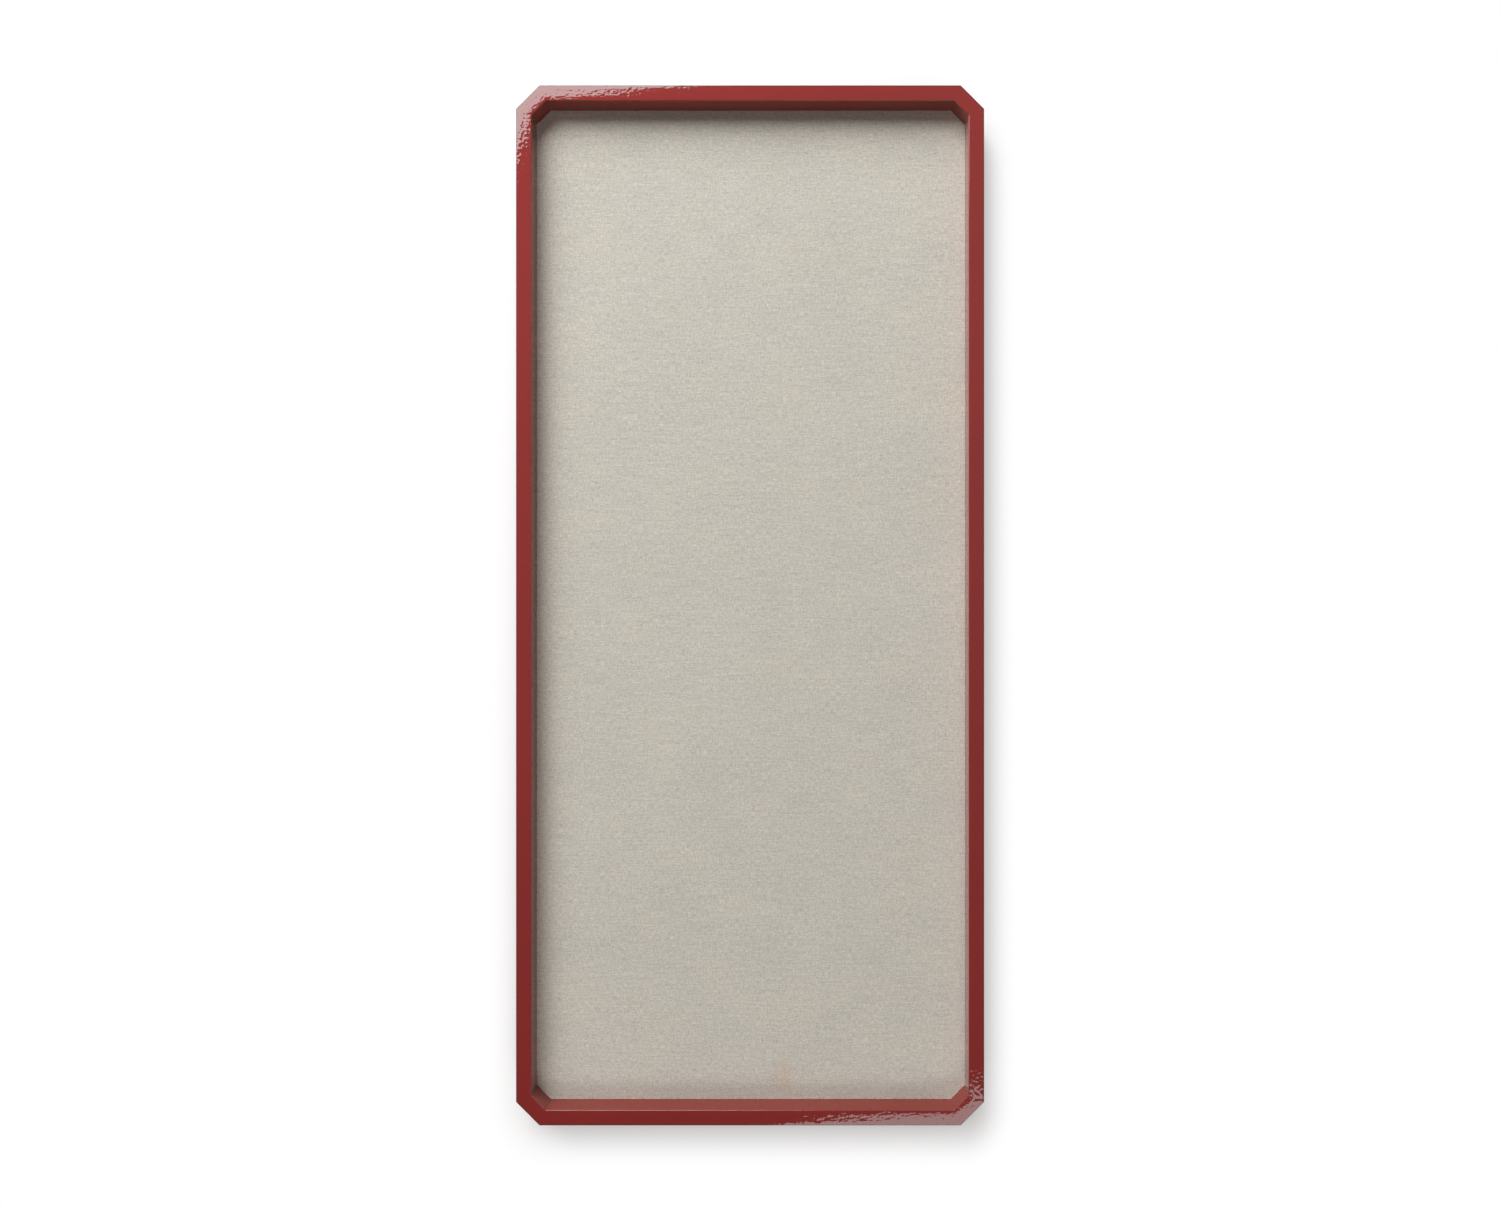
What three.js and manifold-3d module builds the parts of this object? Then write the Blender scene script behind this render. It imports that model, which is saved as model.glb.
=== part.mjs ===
// A tall wall-hung pin board: a lacquered frame with clipped corners round a linen-covered panel.
// Millimetres, +Z up, +X to the viewer's right, and the face looks along -Y.
// The wall is the plane y = 0, and the origin is the middle of the board on that plane.
import * as THREE from 'three';
import Module from 'manifold-3d';
import { mergeVertices } from 'three/addons/utils/BufferGeometryUtils.js';

const wasm = await Module();
wasm.setup();

// The board as the photographed face shows it
const boardWidth = 450;
const boardHeight = 1000;
const cornerClip = 22.5;
const faceWidth = 14.8;
const recessDepth = 25;

// The frame's back: a rebate for the panel leaves a rim round it
const lipWidth = 4.8;
const mitreAngle = Math.PI / 8;
const mitreGap = 0.3;

// Blind splines in the mitres
const splineLength = 16;
const splineThickness = 3;
const splineFaceWall = 3;
const splineBackWall = 2;
const splineGap = 0.3;

// The panel, from the front: linen, cork, plywood, and the linen's turned-over edge
const linenThickness = 0.6;
const corkThickness = 5;
const backerThickness = 8;
const turnoverWidth = 25;
const layerGap = 0.1;
const wrapGap = 0.3;
const panelGap = 0.3;
const panelSetback = 0.4;

// Parts that seat on one another keep this much between them
const seatGap = 0.1;

// Turn buttons on the rim
const buttonLength = 25;
const buttonWidth = 8;
const buttonThickness = 1.1;
const buttonGap = 0.3;
const railButtonShares = [0];
const stileButtonShares = [-0.3, 0, 0.3];

// Pan head screws with a cross recess
const shankRadius = 1.5;
const headRadius = 2.8;
const headHeight = 1.9;
const headRimHeight = 0.7;
const headCrownRadius = 1.9;
const screwTipLength = 3;
const buttonScrewLength = 15;
const strapScrewLength = 8.5;
const pilotGap = 0.2;
const crossSpan = 3.2;
const crossWidth = 0.8;
const crossDepth = 1;

// Strap hangers with D-rings, screwed to the back of the plywood
const hangerTurnoverGap = 8.5;
const hangerDrop = 90;
const strapThickness = 0.9;
const strapWidth = 14;
const strapLength = 33;
const strapEndRadius = 4;
const loopBlendDrop = 4.5;
const loopReleaseAngle = -Math.PI / 3.6;
const upperScrewDrop = 10;
const lowerScrewDrop = 26;
const ringWireRadius = 1.2;
const ringGap = 0.3;
const ringHalfWidth = 10;
const ringSideHeight = 6;
const ringBendRadius = 2;
const ringButtGap = 0.3;

// Rubber bumpers between the board and the wall
const bumperHeight = 5;
const bumperBaseRadius = 4.5;
const bumperTipRadius = 3.8;
const bumperEdgeRound = 0.6;

// Cuts run past the surface that they open by this much
const overrun = 1;

// How finely round shapes are faceted
const arcSegments = 10;
const roundSegments = 16;
const bumperSegments = 24;
const ringSteps = 72;
const ringSectionSegments = 5;
const quarterArcShare = 0.5523;

// Places along the depth, measured from the frame's back, with the face at the far negative end
const linenBackY = -panelSetback;
const backerBackY = linenBackY - linenThickness - layerGap;
const corkBackY = backerBackY - backerThickness - layerGap;
const linenInnerFrontY = corkBackY - corkThickness - layerGap;
const linenFrontY = linenInnerFrontY - linenThickness;
const rebateDepth = seatGap - linenFrontY;
const frameDepth = recessDepth + rebateDepth;
const splineHeight = recessDepth - splineFaceWall - splineBackWall;
const splineMiddleY = -rebateDepth - splineBackWall - splineHeight / 2;

// Places across the board
const rimWidth = faceWidth - lipWidth;
const panelInset = rimWidth + panelGap;
const layerInset = panelInset + linenThickness + wrapGap;
const railLength = boardWidth - 2 * cornerClip;
const stileLength = boardHeight - 2 * cornerClip;
const cornerLength = cornerClip * Math.SQRT2;
const cornerMiddleX = (boardWidth - cornerClip) / 2;
const cornerMiddleZ = (boardHeight - cornerClip) / 2;

// The hangers stand just inside the linen's turned-over edge
const hangerX = boardWidth / 2 - panelInset - turnoverWidth - hangerTurnoverGap
  - ringWireRadius - ringHalfWidth;

// The strap's loop round the ring's bar
const loopBoreRadius = ringWireRadius + ringGap;
const loopRadius = loopBoreRadius + strapThickness;
const strapPlateThickness = 2 * strapThickness;
const ringReach = ringSideHeight + ringHalfWidth;
const ringLean = Math.asin((seatGap + strapThickness) / ringReach);

const across = new THREE.Vector3(1, 0, 0);
const towardsWall = new THREE.Vector3(0, 1, 0);
const towardsFace = new THREE.Vector3(0, -1, 0);
const up = new THREE.Vector3(0, 0, 1);

function finish(color, roughness, metalness) {
  return () => new THREE.MeshStandardMaterial({ color, roughness, metalness });
}

const redLacquer = finish(0x933b38, 0.12, 0);
const linenCloth = finish(0xc3beb3, 0.95, 0);
const cork = finish(0xb28a5e, 0.9, 0);
const plywood = finish(0xd3b88e, 0.7, 0);
const beech = finish(0xc79a66, 0.7, 0);
const zincSteel = finish(0xb9bcc0, 0.35, 1);
const brassedSteel = finish(0xb79a5f, 0.35, 1);
const greyRubber = finish(0x3a3a3a, 0.8, 0);

function piece(name, geometry, material) {
  const mesh = new THREE.Mesh(geometry, material());
  mesh.name = name;
  return mesh;
}

// A closed solid from a geometry, with shared corners merged and empty triangles left out
function solidOf(geometry) {
  const bare = geometry.clone();
  bare.deleteAttribute('normal');
  bare.deleteAttribute('uv');
  const merged = mergeVertices(bare);
  const triangles = [];
  for (let i = 0; i < merged.index.count; i += 3) {
    const corners = [0, 1, 2].map((step) => merged.index.getX(i + step));
    if (new Set(corners).size === 3) {
      triangles.push(...corners);
    }
  }
  return new wasm.Manifold(new wasm.Mesh({
    numProp: 3,
    vertProperties: new Float32Array(merged.attributes.position.array),
    triVerts: new Uint32Array(triangles),
  }));
}

function geometryOf(solid) {
  const mesh = solid.getMesh();
  const geometry = new THREE.BufferGeometry();
  geometry.setAttribute('position', new THREE.BufferAttribute(mesh.vertProperties, 3));
  geometry.setIndex(new THREE.BufferAttribute(mesh.triVerts, 1));
  geometry.computeVertexNormals();
  return geometry;
}

function cutFrom(geometry, cuts) {
  let solid = solidOf(geometry);
  for (const cut of cuts) {
    solid = solid.subtract(solidOf(cut));
  }
  return geometryOf(solid);
}

// An outline in x and z, given thickness towards the face from the plane y = backY
function plate(outline, thickness, backY) {
  const settings = { depth: thickness, bevelEnabled: false, curveSegments: arcSegments };
  const geometry = new THREE.ExtrudeGeometry(outline, settings);
  geometry.applyMatrix4(new THREE.Matrix4().makeBasis(across, up, towardsFace));
  return geometry.translate(0, backY, 0);
}

function polygon(points) {
  return new THREE.Shape(points.map(([x, z]) => new THREE.Vector2(x, z)));
}

// A block between two opposite corners
function block(low, high) {
  const size = high.map((value, i) => value - low[i]);
  const middle = high.map((value, i) => (value + low[i]) / 2);
  return new THREE.BoxGeometry(...size).translate(...middle);
}

// A round hole along the depth, from above the surface at topY down to bottomY
function drill(radius, x, z, topY, bottomY) {
  const length = topY - bottomY + overrun;
  const hole = new THREE.CylinderGeometry(radius, radius, length, roundSegments);
  return hole.translate(x, bottomY + length / 2, z);
}

// The board's outline, a rectangle with clipped corners, drawn in all round by the inset
function boardOutline(inset) {
  const x = boardWidth / 2 - inset;
  const z = boardHeight / 2 - inset;
  const clip = cornerClip - inset * (2 - Math.SQRT2);
  return polygon([
    [x - clip, z], [x, z - clip], [x, clip - z], [x - clip, -z],
    [clip - x, -z], [-x, clip - z], [-x, z - clip], [clip - x, z],
  ]);
}

// A frame member lies along x with its outer edge on z = 0 and its back on y = 0
function memberGeometry(length, holePlaces) {
  const outerHalf = length / 2 - mitreGap / 2 / Math.cos(mitreAngle);
  const innerHalf = outerHalf - faceWidth * Math.tan(mitreAngle);
  const outline = polygon([
    [-outerHalf, 0], [outerHalf, 0], [innerHalf, -faceWidth], [-innerHalf, -faceWidth],
  ]);
  const rebate = block(
    [-length / 2, -rebateDepth, -faceWidth - overrun],
    [length / 2, overrun, -rimWidth],
  );
  const slots = [-1, 1].map((end) => splineBlock(length, end, splineGap));
  const depthOfHole = buttonSeatHeight() - buttonScrewLength - pilotGap;
  const holes = holePlaces.map(
    (x) => drill(shankRadius + pilotGap, x, -rimWidth / 2, 0, depthOfHole),
  );
  return cutFrom(plate(outline, frameDepth, 0), [rebate, ...slots, ...holes]);
}

// A spline square to the mitre at one end of a member, or with a gap round it the slot that takes it
function splineBlock(length, end, gap) {
  const size = [splineLength, splineHeight, splineThickness].map((value) => value + 2 * gap);
  const mitreMiddleX = length / 2 - faceWidth / 2 * Math.tan(mitreAngle);
  const geometry = new THREE.BoxGeometry(...size);
  geometry.rotateY(end * mitreAngle);
  return geometry.translate(end * mitreMiddleX, splineMiddleY, -faceWidth / 2);
}

// How far the underside of a button screw's head stands off the rim
function buttonSeatHeight() {
  return buttonGap + buttonThickness + buttonGap;
}

// The button's screw end is at the origin, and it reaches inward along -z
function buttonGeometry() {
  const endRadius = buttonWidth / 2;
  const reach = buttonLength - buttonWidth;
  const outline = new THREE.Shape();
  outline.absarc(0, 0, endRadius, 0, Math.PI);
  outline.absarc(0, -reach, endRadius, Math.PI, 2 * Math.PI);
  const hole = new THREE.Path();
  hole.absarc(0, 0, shankRadius + buttonGap, 0, 2 * Math.PI, true);
  outline.holes.push(hole);
  return plate(outline, buttonThickness, buttonGap + buttonThickness);
}

// A screw with the underside of its head on y = 0 and its head towards the wall
function screwGeometry(length) {
  const profile = [
    [0, -length], [shankRadius, screwTipLength - length], [shankRadius, 0], [headRadius, 0],
    [headRadius, headRimHeight], [headCrownRadius, headHeight], [0, headHeight],
  ];
  const turned = new THREE.LatheGeometry(
    profile.map(([radius, y]) => new THREE.Vector2(radius, y)),
    roundSegments,
  );
  const crossFloor = headHeight - crossDepth;
  const crossTop = headHeight + overrun;
  const halfSpan = crossSpan / 2;
  const halfWidth = crossWidth / 2;
  const cross = [
    block([-halfSpan, crossFloor, -halfWidth], [halfSpan, crossTop, halfWidth]),
    block([-halfWidth, crossFloor, -halfSpan], [halfWidth, crossTop, halfSpan]),
  ];
  return cutFrom(turned, cross);
}

// The linen covers the front, goes round the edge and is turned over onto the back
function linenGeometry() {
  const coverDepth = linenBackY - linenFrontY;
  const innerDepth = linenBackY - linenThickness - linenInnerFrontY;
  const cover = plate(boardOutline(panelInset), coverDepth, linenBackY);
  const hollow = boardOutline(panelInset + linenThickness);
  const inside = plate(hollow, innerDepth, linenBackY - linenThickness);
  const backOpening = boardOutline(panelInset + turnoverWidth);
  const opened = plate(backOpening, innerDepth, linenBackY + overrun);
  return cutFrom(cover, [inside, opened]);
}

function backerGeometry() {
  const holeBottomY = backerBackY + seatGap + strapPlateThickness + seatGap
    - strapScrewLength - pilotGap;
  const holes = [];
  for (const side of [-1, 1]) {
    for (const drop of [upperScrewDrop, lowerScrewDrop]) {
      const x = side * hangerX;
      const z = boardHeight / 2 - hangerDrop - drop;
      holes.push(drill(shankRadius + pilotGap, x, z, backerBackY, holeBottomY));
    }
  }
  return cutFrom(plate(boardOutline(layerInset), backerThickness, backerBackY), holes);
}

// The strap's side view in y and z: a strip folded double, with its fold rolled round the ring's bar
function strapProfile() {
  const profile = new THREE.Shape();
  profile.moveTo(0, -strapLength);
  profile.absarc(loopRadius, 0, loopRadius, Math.PI, loopReleaseAngle, true);
  profile.lineTo(strapPlateThickness, -loopBlendDrop);
  profile.lineTo(strapPlateThickness, -strapLength);
  const bore = new THREE.Path();
  bore.absarc(loopRadius, 0, loopBoreRadius, 0, 2 * Math.PI);
  profile.holes.push(bore);
  return profile;
}

// The strap's front view in x and z, with its lower corners rounded
function strapOutline() {
  const half = strapWidth / 2;
  const cornerX = half - strapEndRadius;
  const cornerZ = strapEndRadius - strapLength;
  const outline = new THREE.Shape();
  outline.moveTo(half, loopRadius + overrun);
  outline.lineTo(-half, loopRadius + overrun);
  outline.absarc(-cornerX, cornerZ, strapEndRadius, Math.PI, 1.5 * Math.PI);
  outline.absarc(cornerX, cornerZ, strapEndRadius, 1.5 * Math.PI, 2 * Math.PI);
  return outline;
}

function strapGeometry() {
  const settings = { depth: strapWidth, bevelEnabled: false, curveSegments: arcSegments };
  const rolled = new THREE.ExtrudeGeometry(strapProfile(), settings);
  rolled.applyMatrix4(new THREE.Matrix4().makeBasis(towardsWall, up, across));
  rolled.translate(-strapWidth / 2, 0, 0);
  const topY = 2 * loopRadius + overrun;
  const trimmer = plate(strapOutline(), topY + overrun, topY);
  const trimmed = geometryOf(solidOf(rolled).intersect(solidOf(trimmer)));
  const holes = [upperScrewDrop, lowerScrewDrop].map(
    (drop) => drill(shankRadius + pilotGap, 0, -drop, strapPlateThickness, -overrun),
  );
  return cutFrom(trimmed, holes);
}

// A quarter of a round bend that starts and ends square to the corner that it rounds
function quarterArc(start, corner, end) {
  return new THREE.CubicBezierCurve3(
    start,
    start.clone().lerp(corner, quarterArcShare),
    end.clone().lerp(corner, quarterArcShare),
    end,
  );
}

// The ring's wire starts and ends at a butt joint in the middle of the bar
function ringPath() {
  const at = (x, z) => new THREE.Vector3(x, 0, z);
  const path = new THREE.CurvePath();
  const halfBar = ringHalfWidth - ringBendRadius;
  const add = (curve) => path.add(curve);
  const wide = ringHalfWidth;
  const side = ringSideHeight;
  const bend = ringBendRadius;
  add(new THREE.LineCurve3(at(ringButtGap / 2, 0), at(halfBar, 0)));
  add(quarterArc(at(halfBar, 0), at(wide, 0), at(wide, bend)));
  add(new THREE.LineCurve3(at(wide, bend), at(wide, side)));
  add(quarterArc(at(wide, side), at(wide, ringReach), at(0, ringReach)));
  add(quarterArc(at(0, ringReach), at(-wide, ringReach), at(-wide, side)));
  add(new THREE.LineCurve3(at(-wide, side), at(-wide, bend)));
  add(quarterArc(at(-wide, bend), at(-wide, 0), at(-halfBar, 0)));
  add(new THREE.LineCurve3(at(-halfBar, 0), at(-ringButtGap / 2, 0)));
  return path;
}

function ringGeometry() {
  const section = new THREE.Shape();
  section.absarc(0, 0, ringWireRadius, 0, 2 * Math.PI);
  return new THREE.ExtrudeGeometry(section, {
    steps: ringSteps,
    extrudePath: ringPath(),
    curveSegments: ringSectionSegments,
    bevelEnabled: false,
  });
}

function bumperGeometry() {
  const profile = [
    [0, 0], [bumperBaseRadius, 0], [bumperTipRadius, bumperHeight - bumperEdgeRound],
    [bumperTipRadius - bumperEdgeRound, bumperHeight], [0, bumperHeight],
  ];
  return new THREE.LatheGeometry(
    profile.map(([radius, y]) => new THREE.Vector2(radius, y)),
    bumperSegments,
  );
}

// The eight members, clockwise from the top as seen from the front, each turned a step further
const members = [
  { name: 'top_rail', x: 0, z: boardHeight / 2, length: railLength },
  { name: 'upper_right_corner', x: cornerMiddleX, z: cornerMiddleZ, length: cornerLength },
  { name: 'right_stile', x: boardWidth / 2, z: 0, length: stileLength },
  { name: 'lower_right_corner', x: cornerMiddleX, z: -cornerMiddleZ, length: cornerLength },
  { name: 'bottom_rail', x: 0, z: -boardHeight / 2, length: railLength },
  { name: 'lower_left_corner', x: -cornerMiddleX, z: -cornerMiddleZ, length: cornerLength },
  { name: 'left_stile', x: -boardWidth / 2, z: 0, length: stileLength },
  { name: 'upper_left_corner', x: -cornerMiddleX, z: cornerMiddleZ, length: cornerLength },
];

function buttonPlaces(member) {
  if (member.name.endsWith('rail')) {
    return railButtonShares.map((share) => share * boardWidth);
  }
  if (member.name.endsWith('stile')) {
    return stileButtonShares.map((share) => share * boardHeight);
  }
  return [];
}

function buttonAndScrew(number, x) {
  const button = piece(`turn_button_${number}`, buttonGeometry(), zincSteel);
  button.position.set(x, 0, -rimWidth / 2);
  const screw = piece(`turn_button_screw_${number}`, screwGeometry(buttonScrewLength), zincSteel);
  screw.position.set(x, buttonSeatHeight(), -rimWidth / 2);
  return [button, screw];
}

function frame() {
  const group = new THREE.Group();
  let buttonCount = 0;
  members.forEach((member, step) => {
    const side = new THREE.Group();
    side.position.set(member.x, 0, member.z);
    side.rotation.y = step * 2 * mitreAngle;
    const places = buttonPlaces(member);
    side.add(piece(member.name, memberGeometry(member.length, places), redLacquer));
    side.add(piece(`mitre_spline_${step + 1}`, splineBlock(member.length, 1, 0), beech));
    for (const x of places) {
      buttonCount += 1;
      side.add(...buttonAndScrew(buttonCount, x));
    }
    if (member.name.endsWith('corner')) {
      const name = `${member.name.replace('_corner', '')}_bumper`;
      const bumper = piece(name, bumperGeometry(), greyRubber);
      bumper.position.set(0, 0, -rimWidth / 2);
      side.add(bumper);
    }
    group.add(side);
  });
  return group;
}

function panel() {
  const group = new THREE.Group();
  const corkPlate = plate(boardOutline(layerInset), corkThickness, corkBackY);
  group.add(piece('linen_cover', linenGeometry(), linenCloth));
  group.add(piece('cork_sheet', corkPlate, cork));
  group.add(piece('plywood_backer', backerGeometry(), plywood));
  return group;
}

function hanger(side) {
  const group = new THREE.Group();
  const ring = piece(`${side}_hanger_ring`, ringGeometry(), brassedSteel);
  ring.position.set(0, loopRadius, 0);
  ring.rotation.x = ringLean;
  group.add(piece(`${side}_hanger_strap`, strapGeometry(), brassedSteel), ring);
  for (const [place, drop] of [['upper', upperScrewDrop], ['lower', lowerScrewDrop]]) {
    const name = `${side}_hanger_${place}_screw`;
    const screw = piece(name, screwGeometry(strapScrewLength), brassedSteel);
    screw.position.set(0, strapPlateThickness + seatGap, -drop);
    group.add(screw);
  }
  return group;
}

const board = new THREE.Group();
board.position.y = -bumperHeight;
board.add(frame(), panel());
for (const [side, sign] of [['left', -1], ['right', 1]]) {
  const pair = hanger(side);
  pair.position.set(sign * hangerX, backerBackY + seatGap, boardHeight / 2 - hangerDrop);
  board.add(pair);
}

export default board;
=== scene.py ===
import math
import random

import bmesh
import bpy
from mathutils import Matrix, Vector, noise


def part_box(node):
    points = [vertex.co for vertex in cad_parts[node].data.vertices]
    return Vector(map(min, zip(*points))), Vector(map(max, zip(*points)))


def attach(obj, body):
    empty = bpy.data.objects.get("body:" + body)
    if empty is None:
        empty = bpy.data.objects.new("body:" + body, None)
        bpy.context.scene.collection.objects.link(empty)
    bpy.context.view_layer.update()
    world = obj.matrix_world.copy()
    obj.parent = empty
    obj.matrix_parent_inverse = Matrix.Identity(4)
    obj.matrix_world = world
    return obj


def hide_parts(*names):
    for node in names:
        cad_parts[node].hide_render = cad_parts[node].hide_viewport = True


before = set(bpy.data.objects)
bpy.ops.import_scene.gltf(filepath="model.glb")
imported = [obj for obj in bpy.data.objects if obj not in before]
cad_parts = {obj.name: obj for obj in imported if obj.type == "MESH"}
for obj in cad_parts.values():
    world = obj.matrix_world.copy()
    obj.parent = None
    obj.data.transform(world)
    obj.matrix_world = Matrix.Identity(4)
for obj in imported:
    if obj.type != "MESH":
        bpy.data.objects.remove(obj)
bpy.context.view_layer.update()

# Lengths are in millimetres, and MM turns them into metres. +X is to the right seen from the front,
# the face looks along -Y, +Z is up, and the wall is at y = 0.
MM = 0.001
BOARD_WIDTH = 450.0
BOARD_HEIGHT = 1000.0
CORNER_CLIP = 22.5
SIDE_ANGLES = [math.pi / 2 - k * math.pi / 4 for k in range(8)]
MITRE = math.pi / 8

# The frame members. The face is flat between two insets and falls away a little outside them.
FACE_WIDTH = 14.8
FACE_Y = -45.0
FRAME_BACK_Y = -5.0
LIP_BACK_Y = -20.0
RIM_WIDTH = 10.0
CORNER_ROUND = 1.2
CORNER_STEPS = 3
FACE_EDGE_ROUND = 0.45
OPENING_EDGE_ROUND = 0.9
BACK_EDGE_ROUND = 0.6
LIP_EDGE_ROUND = 0.4
FLAT_FROM = 4.6
FLAT_TO = 9.4
CROWN_OUTER_TILT = 2.1
CROWN_INNER_TILT = 1.8

# The linen. Its front swells out of the opening over a width at the ends and another at the sides.
LINEN_EDGE = 10.3
LINEN_FRONT_Y = -19.9
LINEN_BACK_Y = -5.4
LINEN_THICKNESS = 0.6
LINEN_FOLD_ROUND = 1.2
LINEN_CORNER_ROUND = 1.6
LINEN_MIDDLE_ROUND = 1.0
LINEN_CORNER_STEPS = 3
SHORT_STEPS = 26
LONG_STEPS = 62
CLIP_STEPS = 4
LINEN_SWELL = 0.9
SWELL_WIDTH_ENDS = 16.0
SWELL_WIDTH_SIDES = 30.0
TURNOVER = 25.0
PUFF_HEIGHT = 0.34
PUFF_REACH = 9.0
PLEAT_WIDTH = 13.5
PLEAT_HEIGHT = 1.15

# The hardware at the back.
STAPLE_INSET = 24.0
STAPLE_MARGIN = 12.0
STAPLE_SPACING = 43.0
SHORTEST_ROW = 40.0
RING_PIVOT_Y = -3.6
RING_PIVOT_Z = 410.0
SOFTENED_ABOVE = math.radians(28.0)
SHARP_ABOVE = math.radians(35.0)

# The wall.
WALL_Y = 0.3
WALL_REACH = 2400.0


# Outlines and meshes

def outline(half_width, half_height, clip):
    """A clipped rectangle, clockwise seen from the front, from the upper side's left end."""
    return [
        Vector((-half_width + clip, half_height)),
        Vector((half_width - clip, half_height)),
        Vector((half_width, half_height - clip)),
        Vector((half_width, -half_height + clip)),
        Vector((half_width - clip, -half_height)),
        Vector((-half_width + clip, -half_height)),
        Vector((-half_width, -half_height + clip)),
        Vector((-half_width, half_height - clip)),
    ]


def octagon(inset):
    """The board's outline moved inward."""
    clip = CORNER_CLIP - inset * (2 - math.sqrt(2))
    return outline(BOARD_WIDTH / 2 - inset, BOARD_HEIGHT / 2 - inset, clip)


def outward(angle):
    return Vector((math.cos(angle), math.sin(angle)))


def round_point(corners, k, angle, radius):
    """The point with that normal on the rounded corner between side k - 1 and side k."""
    middle = outward(SIDE_ANGLES[k % 8] + MITRE)
    return corners[k % 8] - middle * radius / math.cos(MITRE) + outward(angle) * radius


def arc_points(centre, radius, start, end, steps):
    """Points with their normals (inset, depth) over an arc of a section, angles in degrees."""
    made = []
    for i in range(steps + 1):
        way = outward(math.radians(start + (end - start) * i / steps))
        made.append((Vector(centre) + way * radius, way))
    return made


def tube_faces(rings, sides):
    """The faces of a closed tube: its two ends, then its sides ring by ring."""
    last = (rings - 1) * sides
    faces = [tuple(range(sides)), tuple(last + m for m in range(sides))[::-1]]
    for r in range(rings - 1):
        near, far = r * sides, (r + 1) * sides
        for m in range(sides):
            n = (m + 1) % sides
            faces.append((near + m, far + m, far + n, near + n))
    return faces


def joined(parts):
    """Several lists of points and faces as one."""
    points, faces = [], []
    for more, more_faces in parts:
        shift = len(points)
        points += more
        faces += [tuple(i + shift for i in face) for face in more_faces]
    return points, faces


def make_mesh(name, points, faces, loop_normals=None, smooth=True):
    mesh = bpy.data.meshes.new(name)
    mesh.from_pydata([Vector(p) * MM for p in points], [], faces)
    mesh.update()
    for polygon in mesh.polygons:
        polygon.use_smooth = smooth
    if loop_normals:
        mesh.normals_split_custom_set(loop_normals)
    piece = bpy.data.objects.new(name, mesh)
    bpy.context.scene.collection.objects.link(piece)
    return piece


def closed_mesh(name, points, faces, sharp_degrees):
    """A piece whose every closed part faces outward, sharp where its faces turn by that much."""
    piece = make_mesh(name, points, faces)
    shape = bmesh.new()
    shape.from_mesh(piece.data)
    bmesh.ops.recalc_face_normals(shape, faces=shape.faces)
    shape.to_mesh(piece.data)
    shape.free()
    piece.data.set_sharp_from_angle(angle=math.radians(sharp_degrees))
    return piece


def finish_piece(piece, material, body, stands_for=()):
    piece.data.materials.append(material)
    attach(piece, body)
    if stands_for:
        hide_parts(*stands_for)


# Procedural materials

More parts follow.
